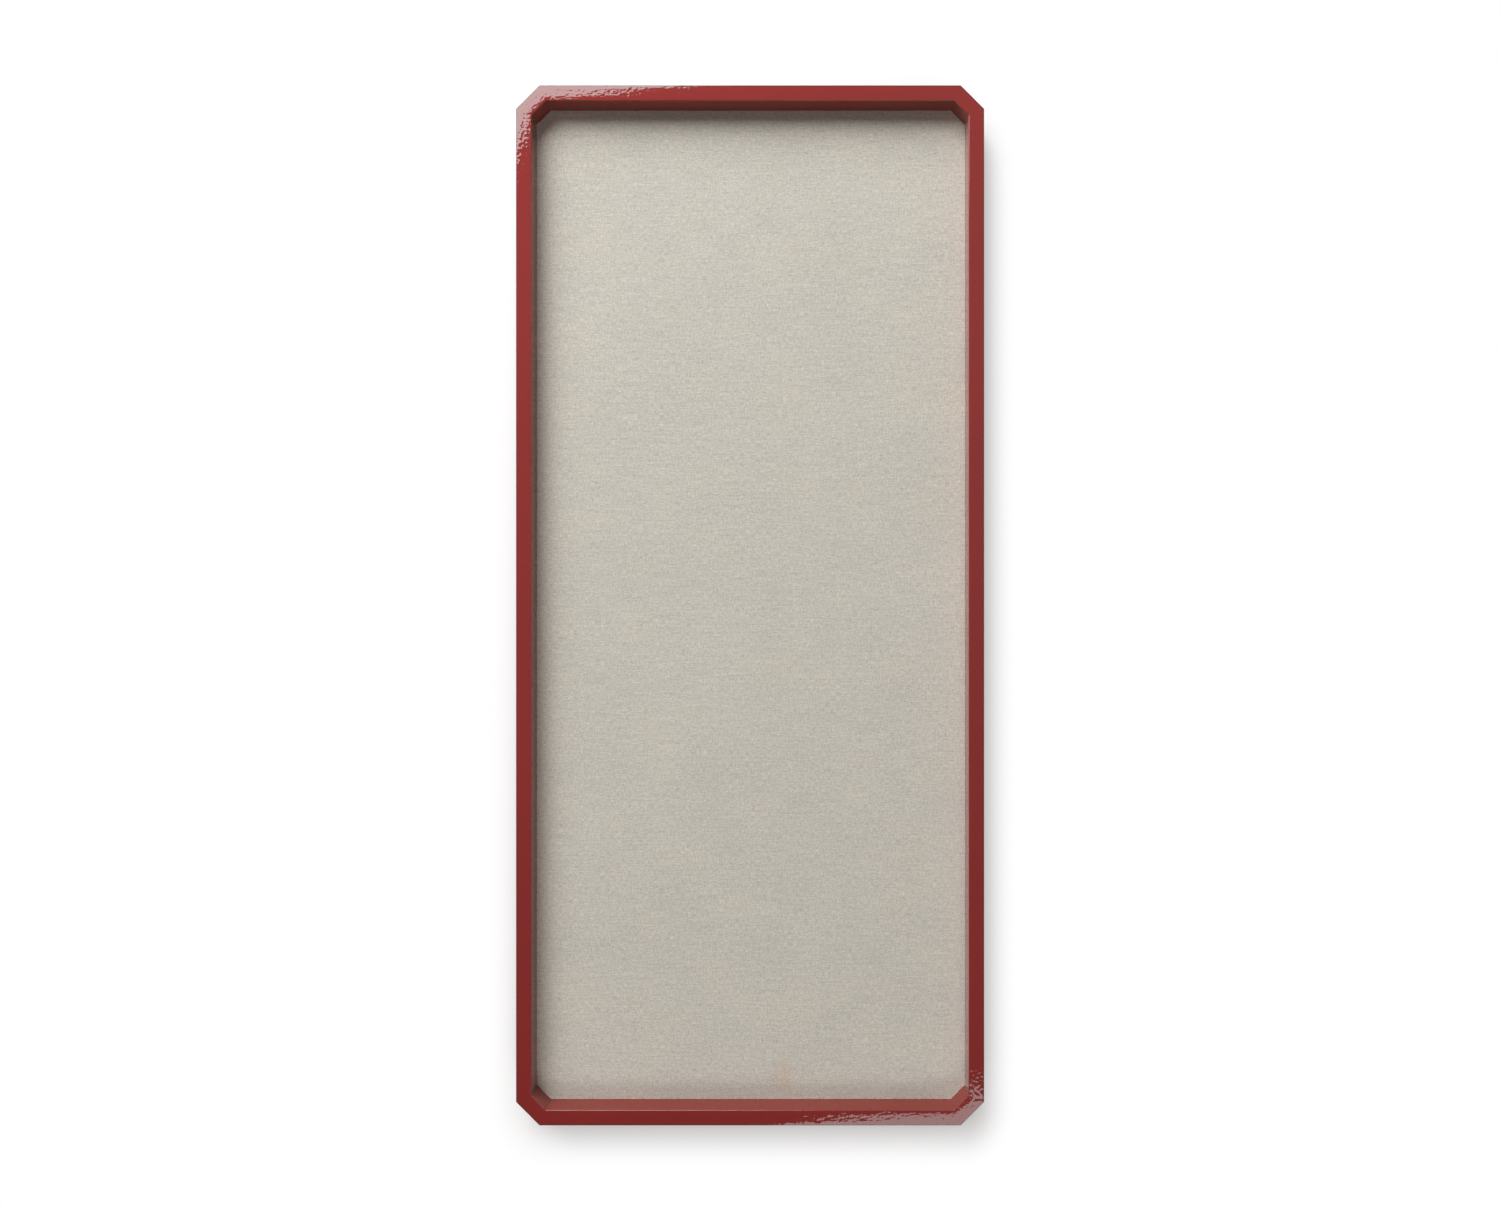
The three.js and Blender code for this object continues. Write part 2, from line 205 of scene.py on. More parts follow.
class Shader:
    """A few short names for building the nodes of a material or of the world."""

    def __init__(self, owner, output="ShaderNodeOutputMaterial"):
        self.owner = owner
        owner.use_nodes = True
        self.tree = owner.node_tree
        self.tree.nodes.clear()
        self.output = self.add(output)

    def add(self, kind, inputs=None, **settings):
        made = self.tree.nodes.new(kind)
        for key, value in settings.items():
            setattr(made, key, value)
        for key, value in (inputs or {}).items():
            self.give(made.inputs[key], value)
        return made

    def give(self, socket, value):
        if isinstance(value, bpy.types.NodeSocket):
            self.tree.links.new(value, socket)
        else:
            socket.default_value = value

    def give_all(self, made, indices, values):
        for index, value in zip(indices, values):
            self.give(made.inputs[index], value)

    def place(self):
        return self.add("ShaderNodeTexCoord").outputs["Object"]

    def side(self):
        return self.add("ShaderNodeTexCoord").outputs["Normal"]

    def split(self, vector):
        made = self.add("ShaderNodeSeparateXYZ", {"Vector": vector})
        return made.outputs["X"], made.outputs["Y"], made.outputs["Z"]

    def join(self, x, y, z):
        return self.add("ShaderNodeCombineXYZ", {"X": x, "Y": y, "Z": z}).outputs[0]

    def scaled(self, vector, scale, offset=(0, 0, 0)):
        inputs = {"Vector": vector, "Scale": scale, "Location": offset}
        return self.add("ShaderNodeMapping", inputs).outputs[0]

    def calc(self, operation, a, b=0.0, c=0.0):
        made = self.add("ShaderNodeMath", operation=operation)
        self.give_all(made, (0, 1, 2), (a, b, c))
        return made.outputs[0]

    def swing(self, value, amount, start):
        """Adds to the start that amount of a noise's swing about one half."""
        return self.calc("MULTIPLY_ADD", self.calc("SUBTRACT", value, 0.5), amount, start)

    def noise(self, vector, scale=1.0, detail=2.0, roughness=0.5, distortion=0.0):
        inputs = {"Vector": vector, "Scale": scale, "Detail": detail}
        inputs.update({"Roughness": roughness, "Distortion": distortion})
        return self.add("ShaderNodeTexNoise", inputs).outputs["Fac"]

    def cells(self, vector, scale, feature="F1", output="Distance"):
        inputs = {"Vector": vector, "Scale": scale}
        return self.add("ShaderNodeTexVoronoi", inputs, feature=feature).outputs[output]

    def remap(self, value, low, high, to_low=0.0, to_high=1.0, smooth=False):
        kind = "SMOOTHSTEP" if smooth else "LINEAR"
        made = self.add("ShaderNodeMapRange", interpolation_type=kind)
        self.give_all(made, range(5), (value, low, high, to_low, to_high))
        return made.outputs[0]

    def mix(self, share, a, b):
        made = self.add("ShaderNodeMix", data_type="FLOAT")
        self.give_all(made, (0, 2, 3), (share, a, b))
        return made.outputs[0]

    def blend(self, share, a, b):
        made = self.add("ShaderNodeMix", data_type="RGBA")
        self.give_all(made, (0, 6, 7), (share, a, b))
        return made.outputs[2]

    def bump(self, height, distance, strength=1.0, normal=None):
        inputs = {"Height": height, "Distance": distance, "Strength": strength}
        if normal is not None:
            inputs["Normal"] = normal
        return self.add("ShaderNodeBump", inputs).outputs[0]

    def emission(self, strength):
        inputs = {"Color": rgb(1, 1, 1), "Strength": strength}
        return self.add("ShaderNodeEmission", inputs).outputs[0]

    def mix_shaders(self, share, a, b):
        made = self.add("ShaderNodeMixShader")
        self.give_all(made, (0, 1, 2), (share, a, b))
        return made.outputs[0]

    def show(self, shader):
        self.give(self.output.inputs["Surface"], shader)
        return self.owner

    def surface(self, **inputs):
        made = self.add("ShaderNodeBsdfPrincipled")
        for key, value in inputs.items():
            self.give(made.inputs[key.replace("_", " ")], value)
        return self.show(made.outputs[0])


def rgb(red, green, blue):
    return (red, green, blue, 1.0)


def red_lacquer():
    """Sprayed and polished red lacquer: orange peel, rub lines, a painted dark shade line along the
    face's outer edge, a milky painted sheen in the recess and a dull back.
    """
    deep, bright = rgb(0.230, 0.0044, 0.0016), rgb(0.248, 0.0060, 0.0026)
    # The second colour here is a painted dark shade for the face's outer edge, the third a painted
    # sheen for the recess walls.
    speck, painted_edge_shade, recess_painted_sheen = rgb(0.30, 0.010, 0.005), rgb(0.045, 0.004, 0.004), rgb(0.255, 0.050, 0.040)
    s = Shader(bpy.data.materials.new("red_lacquer_finish"))
    place = s.place()
    broad = s.noise(place, 9.0, 3.0)
    red = s.blend(s.remap(broad, 0.35, 0.65), deep, bright)
    fine = s.noise(place, 900.0, 2.0)
    red = s.blend(s.remap(fine, 0.62, 0.8, 0.0, 0.18), red, speck)
    # Distance in from the board's outline, for what follows its sides.
    x, y, z = s.split(place)
    right = s.calc("SUBTRACT", BOARD_WIDTH / 2 * MM, s.calc("ABSOLUTE", x))
    above = s.calc("SUBTRACT", BOARD_HEIGHT / 2 * MM, s.calc("ABSOLUTE", z))
    corner = s.calc("SUBTRACT", s.calc("ADD", right, above), CORNER_CLIP * MM)
    corner = s.calc("MULTIPLY", corner, math.sqrt(0.5))
    inset = s.calc("MINIMUM", s.calc("MINIMUM", right, above), corner)
    # A thin, ragged dark line is painted along the face's outer edge: painted shade where the eased
    # edge turns away from the light.
    ragged = s.calc("MULTIPLY_ADD", s.noise(place, 130.0, 3.0, 0.6), 0.6 * MM, -0.3 * MM)
    edge_shade_mask = s.remap(s.calc("ADD", inset, ragged), 0.6 * MM, 1.1 * MM, 1.0, 0.0, smooth=True)
    face = s.remap(y, (FACE_Y + 0.6) * MM, (FACE_Y + 1.0) * MM, 0.78, 0.0, smooth=True)
    red = s.blend(s.calc("MULTIPLY", edge_shade_mask, face), red, painted_edge_shade)
    # The recess walls are given a paler, milky red: a painted sheen standing in for the haze of
    # light they reflect.
    inside = s.remap(inset, (FACE_WIDTH - 0.7) * MM, (FACE_WIDTH - 0.1) * MM, smooth=True)
    inside = s.calc("MULTIPLY", inside, s.remap(broad, 0.3, 0.7, 0.75, 1.0))
    red = s.blend(inside, red, recess_painted_sheen)
    back = s.remap(s.split(s.side())[1], 0.55, 0.85)
    polish = s.remap(s.noise(place, 55.0, 3.0), 0.3, 0.75, 0.03, 0.06)
    streaks = s.noise(s.scaled(place, (60.0, 60.0, 9.0)), 6.0, 3.0)
    dull = s.remap(streaks, 0.3, 0.7, 0.32, 0.46)
    roughness = s.mix(back, polish, dull)
    # Rubbing runs along each member: across it the coat varies fast, along it slowly.
    fast, slow = 390.0, 120.0
    rubbed = s.join(
        s.calc("MULTIPLY", x, slow),
        s.calc("MULTIPLY_ADD", y, fast, s.calc("MULTIPLY", inset, fast)),
        s.calc("MULTIPLY", z, slow),
    )
    rub = s.noise(rubbed, 1.0, 1.0, 0.5)
    peel = s.noise(place, 330.0, 0.0, 0.5)
    flow = s.noise(place, 120.0, 1.0)
    normal = s.bump(peel, 0.05 * MM)
    normal = s.bump(rub, 0.042 * MM, normal=normal)
    normal = s.bump(flow, 0.02 * MM, normal=normal)
    return s.surface(
        Base_Color=red,
        Roughness=roughness,
        IOR=1.5,
        Specular_Tint=rgb(0.70, 0.92, 0.92),
        Sheen_Weight=0.12,
        Sheen_Roughness=0.3,
        Sheen_Tint=rgb(1.0, 0.75, 0.72),
        Normal=normal,
    )


def linen_cloth():
    """Plain-woven natural linen: thick and thin threads, the gaps between them and fibre fluff."""
    cool, warm = rgb(0.616, 0.596, 0.537), rgb(0.634, 0.606, 0.537)
    knot_brown, mark_brown = rgb(0.36, 0.29, 0.20), rgb(0.60, 0.42, 0.30)
    s = Shader(bpy.data.materials.new("woven_linen"))
    x, y, z = s.split(s.place())
    nx, _, nz = s.split(s.side())
    across = s.calc("MULTIPLY_ADD", y, s.calc("ABSOLUTE", nx), x)
    along = s.calc("MULTIPLY_ADD", y, s.calc("ABSOLUTE", nz), z)
    flat = s.join(across, 0.0, along)
    # The threads wander a little both ways.
    wander = s.noise(s.scaled(flat, (22.0, 1.0, 70.0)), 1.0, 2.0)
    along = s.calc("MULTIPLY_ADD", wander, 2.4 * MM, along)
    sway = s.noise(s.scaled(flat, (60.0, 1.0, 18.0), (3.0, 0.0, 5.0)), 1.0, 2.0)
    across = s.calc("MULTIPLY_ADD", sway, 1.2 * MM, across)
    cloth = s.join(across, 0.0, along)

    pitch = 0.72 * MM
    warp_phase = s.calc("MULTIPLY", across, math.pi / pitch)
    weft_phase = s.calc("MULTIPLY", along, math.pi / pitch)
    warp = s.calc("ABSOLUTE", s.calc("SINE", warp_phase))
    weft = s.calc("ABSOLUTE", s.calc("SINE", weft_phase))
    over = s.calc("MULTIPLY", s.calc("SINE", warp_phase), s.calc("SINE", weft_phase))
    over = s.calc("MULTIPLY_ADD", over, 0.5, 0.5)
    over = s.remap(over, 0.3, 0.7, smooth=True)
    warp = s.calc("POWER", warp, 0.6)
    weft = s.calc("POWER", weft, 0.6)
    weave = s.mix(over, weft, warp)

    fine_slub = s.noise(s.scaled(cloth, (190.0, 1.0, 900.0)), 1.0, 2.0, 0.65)
    long_slub = s.noise(s.scaled(cloth, (30.0, 1.0, 480.0), (7.0, 0.0, 2.0)), 1.0, 2.0, 0.6)
    upright = s.noise(s.scaled(cloth, (880.0, 1.0, 170.0), (1.0, 0.0, 9.0)), 1.0, 2.0, 0.65)
    fibre = s.noise(s.scaled(cloth, (620.0, 1.0, 700.0)), 1.0, 2.0, 0.8)
    patch = s.noise(s.scaled(flat, (9.0, 1.0, 14.0)), 1.0, 4.0, 0.55)
    tone = s.swing(fine_slub, 0.62, 1.0)
    tone = s.swing(long_slub, 0.30, tone)
    tone = s.swing(upright, 0.50, tone)
    tone = s.swing(fibre, 0.80, tone)
    tone = s.swing(patch, 0.10, tone)
    tone = s.calc("MULTIPLY", tone, s.remap(weave, 0.0, 1.0, 0.86, 1.045))

    knots = s.noise(s.scaled(cloth, (55.0, 1.0, 500.0), (11.0, 0.0, 4.0)), 1.0, 1.0)
    knots = s.remap(knots, 0.74, 0.82)
    hue = s.noise(s.scaled(flat, (16.0, 1.0, 22.0), (5.0, 0.0, 1.0)), 1.0, 3.0)
    colour = s.blend(s.remap(hue, 0.35, 0.65), cool, warm)
    colour = s.blend(s.calc("MULTIPLY", knots, 0.28), colour, knot_brown)

    # A faint warm water mark low on the panel, as the real cloth has.
    mark_x = s.calc("DIVIDE", s.calc("SUBTRACT", x, 31.0 * MM), 14.0 * MM)
    mark_z = s.calc("DIVIDE", s.calc("ADD", z, 463.0 * MM), 21.0 * MM)
    reach = s.calc("ADD", s.calc("POWER", mark_x, 2.0), s.calc("POWER", mark_z, 2.0))
    ragged = s.calc("MULTIPLY_ADD", s.noise(flat, 120.0, 3.0), 1.6, reach)
    front = s.remap(y, (LINEN_FRONT_Y + 0.5) * MM, (LINEN_FRONT_Y + 0.7) * MM, 1.0, 0.0)
    mark = s.calc("MULTIPLY", s.remap(ragged, 0.7, 1.9, 0.30, 0.0, smooth=True), front)
    colour = s.blend(mark, colour, mark_brown)

    toned = s.add("ShaderNodeVectorMath", operation="SCALE")
    s.give(toned.inputs[0], colour)
    s.give(toned.inputs["Scale"], tone)
    height = s.swing(fibre, 0.35, s.swing(fine_slub, 0.9, weave))
    return s.surface(
        Base_Color=toned.outputs[0],
        Roughness=0.88,
        Diffuse_Roughness=0.6,
        Specular_IOR_Level=0.25,
        Sheen_Weight=0.04,
        Sheen_Roughness=0.5,
        Normal=s.bump(height, 0.07 * MM, 0.8),
    )


def birch_plywood():
    """Rotary-cut birch: long soft figure, pores and a few small pin knots."""
    s = Shader(bpy.data.materials.new("birch_veneer"))
    place = s.place()
    figure = s.noise(s.scaled(place, (26.0, 26.0, 2.4)), 1.0, 4.0, 0.55, 0.6)
    pores = s.noise(s.scaled(place, (900.0, 900.0, 45.0)), 1.0, 2.0, 0.6)
    colour = s.blend(s.remap(figure, 0.3, 0.7), rgb(0.60, 0.43, 0.25), rgb(0.72, 0.56, 0.36))
    colour = s.blend(s.remap(pores, 0.55, 0.72, 0.0, 0.35), colour, rgb(0.44, 0.29, 0.16))
    knots = s.cells(s.scaled(place, (9.0, 9.0, 5.0)), 1.0)
    knots = s.remap(knots, 0.018, 0.04, 0.75, 0.0, smooth=True)
    return s.surface(
        Base_Color=s.blend(knots, colour, rgb(0.20, 0.11, 0.06)),
        Roughness=s.remap(figure, 0.3, 0.7, 0.52, 0.66),
        Normal=s.bump(pores, 0.03 * MM),
    )


def pressed_cork():
    """Pressed cork granules with dark seams between them."""
    s = Shader(bpy.data.materials.new("pressed_cork"))
    place = s.place()
    grain = s.cells(place, 420.0, output="Color")
    edge = s.cells(place, 420.0, "DISTANCE_TO_EDGE")
    colour = s.blend(s.split(grain)[0], rgb(0.38, 0.22, 0.10), rgb(0.58, 0.37, 0.19))
    colour = s.blend(s.remap(edge, 0.0, 0.06, 0.7, 0.0), colour, rgb(0.14, 0.07, 0.03))
    return s.surface(Base_Color=colour, Roughness=0.85, Normal=s.bump(edge, 0.2 * MM))


def beech_grain():
    """Plain beech with its grain along the splines."""
    s = Shader(bpy.data.materials.new("beech_grain"))
    grain = s.noise(s.scaled(s.place(), (300.0, 90.0, 300.0)), 1.0, 3.0, 0.6)
    colour = s.blend(s.remap(grain, 0.3, 0.7), rgb(0.50, 0.31, 0.17), rgb(0.66, 0.45, 0.28))
    return s.surface(Base_Color=colour, Roughness=0.6, Normal=s.bump(grain, 0.04 * MM))


def plated_metal(name, light, dark, low, high):
    """Plated sheet metal: drifting tone, hairline scratches and dull spots."""
    s = Shader(bpy.data.materials.new(name))
    place = s.place()
    tone = s.noise(place, 260.0, 4.0, 0.6)
    colour = s.blend(s.remap(tone, 0.35, 0.7), dark, light)
    spots = s.split(s.cells(place, 900.0, output="Color"))[0]
    rough = s.calc("MULTIPLY_ADD", spots, 0.07, s.remap(tone, 0.3, 0.7, low, high))
    lines = s.noise(s.scaled(place, (180.0, 900.0, 2600.0)), 1.0, 2.0)
    return s.surface(
        Base_Color=colour, Metallic=1.0, Roughness=rough, Normal=s.bump(lines, 0.006 * MM)
    )


def moulded_rubber():
    """Matt black rubber with a little dust on it."""
    s = Shader(bpy.data.materials.new("moulded_rubber"))
    place = s.place()
    fine = s.noise(place, 2200.0, 2.0)
    dust = s.noise(place, 300.0, 4.0, 0.7)
    colour = s.blend(
        s.remap(dust, 0.5, 0.75, 0.0, 0.5), rgb(0.045, 0.043, 0.042), rgb(0.11, 0.105, 0.10)
    )
    rough = s.remap(dust, 0.3, 0.7, 0.55, 0.75)
    return s.surface(Base_Color=colour, Roughness=rough, Normal=s.bump(fine, 0.03 * MM))


LACQUER = red_lacquer()
LINEN = linen_cloth()
BIRCH = birch_plywood()
CORK = pressed_cork()
BEECH = beech_grain()
ZINC = plated_metal("zinc_plating", rgb(0.60, 0.62, 0.65), rgb(0.50, 0.53, 0.57), 0.24, 0.36)
BRASS = plated_metal("brass_plating", rgb(0.70, 0.53, 0.28), rgb(0.62, 0.45, 0.22), 0.22, 0.32)
STAPLE = plated_metal("galvanised_wire", rgb(0.42, 0.43, 0.45), rgb(0.30, 0.31, 0.33), 0.30, 0.42)
RUBBER = moulded_rubber()


# The eight frame members

def frame_section():
    """The member's section as two runs of points with normals: from the back's outer edge over the
    face to the rebate's top, and from there down the rebate to the start."""
    outer = math.sin(math.radians(CROWN_OUTER_TILT))
    inner = math.sin(math.radians(CROWN_INNER_TILT))
    outer_arc = (FLAT_FROM - FACE_EDGE_ROUND * (1 - outer)) / outer
    inner_arc = (FACE_WIDTH - OPENING_EDGE_ROUND * (1 - inner) - FLAT_TO) / inner
    outer_middle = (FLAT_FROM, FACE_Y + outer_arc)
    inner_middle = (FLAT_TO, FACE_Y + inner_arc)
    outer_way = outward(math.radians(270 - CROWN_OUTER_TILT))
    inner_way = outward(math.radians(270 + CROWN_INNER_TILT))
    outer_edge = Vector(outer_middle) + (outer_arc - FACE_EDGE_ROUND) * outer_way
    inner_edge = Vector(inner_middle) + (inner_arc - OPENING_EDGE_ROUND) * inner_way
    back_outside = (BACK_EDGE_ROUND, FRAME_BACK_Y - BACK_EDGE_ROUND)
    back_inside = (RIM_WIDTH - LIP_EDGE_ROUND, FRAME_BACK_Y - LIP_EDGE_ROUND)
    lip = (FACE_WIDTH - LIP_EDGE_ROUND, LIP_BACK_Y - LIP_EDGE_ROUND)
    shown = arc_points(back_outside, BACK_EDGE_ROUND, 90, 180, 4)
    shown += arc_points(outer_edge, FACE_EDGE_ROUND, 180, 270 - CROWN_OUTER_TILT, 6)
    shown += arc_points(outer_middle, outer_arc, 270 - CROWN_OUTER_TILT, 270, 4)[1:]
    shown += arc_points(inner_middle, inner_arc, 270, 270 + CROWN_INNER_TILT, 4)
    shown += arc_points(inner_edge, OPENING_EDGE_ROUND, 270 + CROWN_INNER_TILT, 360, 7)[1:]
    shown += arc_points(lip, LIP_EDGE_ROUND, 0, 90, 3)
    rebate_top = Vector((RIM_WIDTH, LIP_BACK_Y))
    shown.append((rebate_top, Vector((0, 1))))
    behind = [(rebate_top, Vector((1, 0)))]
    behind += arc_points(back_inside, LIP_EDGE_ROUND, 0, 90, 3)
    behind.append(shown[0])
    return shown, behind


def lifted(normal, way):
    """A section's normal in space, at a station whose outward direction has that angle."""
    out = outward(way)
    return Vector((-normal.x * out.x, normal.y, -normal.x * out.y))


def member(name, k):
    """Side k of the frame between its two mitre planes, with each corner's rounding shared."""
    shown, behind = frame_section()
    profile = [point for point, _ in shown + behind[1:-1]]
    count = len(profile)
    edges = []
    for run in (shown, behind):
        for (_, normal), (_, next_normal) in zip(run, run[1:]):
            a = len(edges)
            edges.append((a, (a + 1) % count, normal, next_normal))
    angle = SIDE_ANGLES[k]
    stations = [(k, angle + MITRE * (1 - i / CORNER_STEPS)) for i in range(CORNER_STEPS + 1)]
    stations += [(k + 1, angle - MITRE * i / CORNER_STEPS) for i in range(CORNER_STEPS + 1)]
    points = []
    for corner, way in stations:
        for inset, depth in profile:
            spot = round_point(octagon(inset), corner, way, CORNER_ROUND)
            points.append((spot.x, depth, spot.y))
    faces = []
    normals = []
    for j in range(len(stations) - 1):
        near, far = j * count, (j + 1) * count
        way, next_way = stations[j][1], stations[j + 1][1]
        for a, b, normal, next_normal in edges:
            faces.append((near + a, near + b, far + b, far + a))
            normals += [lifted(normal, way), lifted(next_normal, way)]
            normals += [lifted(next_normal, next_way), lifted(normal, next_way)]
    last = (len(stations) - 1) * count
    start_out = outward(stations[0][1] + math.pi / 2)
    end_out = outward(stations[-1][1] - math.pi / 2)
    faces.append(tuple(range(count))[::-1])
    normals += [Vector((start_out.x, 0, start_out.y))] * count
    faces.append(tuple(range(last, last + count)))
    normals += [Vector((end_out.x, 0, end_out.y))] * count
    return make_mesh(name, points, faces, normals)


MEMBERS = [
    "top_rail", "upper_right_corner", "right_stile", "lower_right_corner",
    "bottom_rail", "lower_left_corner", "left_stile", "upper_left_corner",
]
for k, node in enumerate(MEMBERS):
    finish_piece(member(f"lacquered_{node}", k), LACQUER, "board", [node])


# The linen

rng = random.Random(7)


def staple_places():
    """The centre of every staple on the turned-over linen and the angle of its crown."""
    corners = octagon(STAPLE_INSET)
    made = []
    for k in range(8):
        start, end = corners[k], corners[(k + 1) % 8]
        length = (end - start).length
        row = length - 2 * STAPLE_MARGIN
        count = round(row / STAPLE_SPACING) + 1 if length > SHORTEST_ROW else 1
        for i in range(count):
            share = 0.5 if count == 1 else (STAPLE_MARGIN + row * i / (count - 1)) / length
            share += rng.uniform(-2.5, 2.5) / length if 0 < i < count - 1 else 0
            tilt = math.radians(rng.uniform(-9, 9))
            nudge = outward(SIDE_ANGLES[k]) * rng.uniform(-1.2, 1.2)
            made.append((start.lerp(end, share) + nudge, SIDE_ANGLES[k] - math.pi / 2 + tilt))
    return made


STAPLES = staple_places()


def linen_loop(corners, radius):
    """One closed loop of points round the cloth, with its corners rounded."""
    made = []
    for k in range(8):
        steps = (SHORT_STEPS, CLIP_STEPS, LONG_STEPS, CLIP_STEPS)[k % 4]
        for i in range(LINEN_CORNER_STEPS + 1):
            way = SIDE_ANGLES[k] + math.pi / 4 * (1 - i / LINEN_CORNER_STEPS)
            made.append(round_point(corners, k, way, radius))
        last = made[-1]
        following = round_point(corners, k + 1, SIDE_ANGLES[k], radius)
        made += [last.lerp(following, i / steps) for i in range(1, steps)]
    return made


def puff(spot):
    """How far the turned-over cloth stands off the plywood between its staples."""
    near = min((spot - place).length for place, _ in STAPLES)
    wave = 0.5 + 0.5 * noise.noise(Vector((spot.x * 0.03, spot.y * 0.03, 4.0)))
    return PUFF_HEIGHT * wave * (1 - math.exp(-(near / PUFF_REACH) ** 2))


def swell(spot):
    """The depth of the cloth's front, which rises out of the opening from the lip's edge inward. It
    is pulled tighter across the panel than along it, so it rises more slowly at the sides."""
    beside = BOARD_WIDTH / 2 - abs(spot.x)
    beyond = BOARD_HEIGHT / 2 - abs(spot.y)
    clipped = (beside + beyond - CORNER_CLIP) * math.sqrt(0.5)
    at_ends = (min(beyond, clipped) - FACE_WIDTH) / SWELL_WIDTH_ENDS
    at_sides = (min(beside, clipped) - FACE_WIDTH) / SWELL_WIDTH_SIDES
    share = min(1.0, max(0.0, min(at_ends, at_sides)))
    return LINEN_FRONT_Y - LINEN_SWELL * (1 - (1 - share) ** 2)


def linen_sheet():
    """The stretched cloth as closed loops: out over its front, round the panel's edge to the cut of
    the turned-over flap, and back along its inner side."""
    cut = LINEN_EDGE + TURNOVER
    cut_y = LINEN_BACK_Y - LINEN_THICKNESS / 2
    inner_y = LINEN_BACK_Y - LINEN_THICKNESS
    rear_y = LINEN_FRONT_Y + LINEN_THICKNESS
    inner_round = LINEN_FOLD_ROUND - LINEN_THICKNESS
    front_fold = (LINEN_EDGE + LINEN_FOLD_ROUND, LINEN_FRONT_Y + LINEN_FOLD_ROUND)
    back_fold = (LINEN_EDGE + LINEN_FOLD_ROUND, LINEN_BACK_Y - LINEN_FOLD_ROUND)
    outside = arc_points(front_fold, LINEN_FOLD_ROUND, 270, 180, 5)
    outside += arc_points(back_fold, LINEN_FOLD_ROUND, 180, 90, 5)
    inside = arc_points(back_fold, inner_round, 90, 180, 4)
    inside += arc_points(front_fold, inner_round, 180, 270, 4)

    def edge_loop(inset):
        return linen_loop(octagon(inset), LINEN_CORNER_ROUND)

    def flat_loop(inset, depth):
        return [(p.x, depth, p.y) for p in edge_loop(inset)]

    def flap_loop(inset, depth):
        """A loop of the flap, which puffs between its staples and is cut by hand."""
        share = min(1.0, max(0.0, (inset - 12.0) / 4.0))
        made = []
        for p in edge_loop(inset):
            y = depth + puff(p) * share
            if inset > cut - 2.0:
                p = p + noise.noise(Vector((p.x * 0.09, p.y * 0.09, 1.0))) * 0.9 * p.normalized()
            made.append((p.x, y, p.y))
        return made

    middle = []
    for inset, clip in ((200, 2), (150, 3), (105, 4), (70, 6), (45, 8), (36, 8), (30, 8)):
        corners = outline(BOARD_WIDTH / 2 - inset, BOARD_HEIGHT / 2 - inset, clip)
        middle.append(linen_loop(corners, LINEN_MIDDLE_ROUND))
    border = [edge_loop(inset) for inset in (26.0, 23.5, 21.3, 19.5, 17.8, 16.2, 14.8, 14.0)]
    loops = [[(p.x, swell(p), p.y) for p in spots] for spots in middle + border]
    loops += [flat_loop(*point) for point, _ in outside]
    for inset in (14.5, 18.0, 21.0, 24.0, 27.0, 30.0, 33.0, cut - 0.7, cut - 0.3):
        loops.append(flap_loop(inset, LINEN_BACK_Y))
    loops.append(flap_loop(cut, cut_y))
    for inset in (cut - 0.3, 30.0, 24.0, 18.0, 14.5):
        loops.append(flap_loop(inset, inner_y))
    loops += [flat_loop(*point) for point, _ in inside]
    loops.append(flat_loop(20.0, rear_y))
    loops += [[(p.x, rear_y, p.y) for p in spots] for spots in middle[::-1]]

    count = len(loops[0])
    points = [p for loop in loops for p in loop]
    faces = [tuple(range(count))]
    for j in range(len(loops) - 1):
        near, far = j * count, (j + 1) * count
        for i in range(count):
            n = (i + 1) % count
            faces.append((near + i, near + n, far + n, far + i))
    last = (len(loops) - 1) * count
    faces.append(tuple(range(last, last + count))[::-1])
    return points, faces


def pleat(k):
    """The cloth gathered at one corner of the panel, folded flat over the next turned-over side."""
    apex = octagon(LINEN_EDGE + 1.0)[k]
    cut = octagon(LINEN_EDGE + TURNOVER - 0.6)[k]
    if k % 2:
        side = SIDE_ANGLES[k - 1]
        along = outward(side + math.pi / 2)
    else:
        side = SIDE_ANGLES[k]
        along = outward(side - math.pi / 2)
    first = cut - apex
    second = cut + along * PLEAT_WIDTH + outward(side) * 0.8 - apex
    rows, columns = 9, 12
    base = LINEN_BACK_Y + 0.05
    top, under = [], []
    for i in range(rows + 1):
        s = 0.06 + 0.94 * i / rows
        for j in range(columns + 1):
            t = (j / columns) ** 0.7
            bow = 0.7 * math.sin(math.pi * s) * t
            spot = apex + (first * (1 - t) + second * t) * s - along * bow
            nose = 1.0 if t < 0.9 else math.sqrt(max(0.0, 1 - ((t - 0.9) / 0.1) ** 2))
            rise = PLEAT_HEIGHT * min(1.0, s * 4.0) * min(1.0, t * 2.2) ** 0.6 * nose
            rise *= 0.92 + 0.08 * math.cos(7 * s + k)
            top.append((spot.x, base + 0.12 + rise, spot.y))
            under.append((spot.x, base - 0.1 + 0.35 * (1 - nose), spot.y))
    width = columns + 1
    offset = len(top)
    faces = []
    for i in range(rows):
        for j in range(columns):
            a = i * width + j
            b, c, d = a + 1, a + width + 1, a + width
            faces.append((a, b, c, d))
            faces.append((offset + d, offset + c, offset + b, offset + a))
    rim = list(range(width))
    rim += [i * width + columns for i in range(1, rows + 1)]
    rim += [rows * width + j for j in range(columns - 1, -1, -1)]
    rim += [i * width for i in range(rows - 1, 0, -1)]
    for a, b in zip(rim, rim[1:] + rim[:1]):
        faces.append((b, a, offset + a, offset + b))
    return top + under, faces


points, faces = joined([linen_sheet()] + [pleat(k) for k in range(8)])
linen = closed_mesh("stretched_linen", points, faces, 38)
finish_piece(linen, LINEN, "board", ["linen_cover"])


# The staples

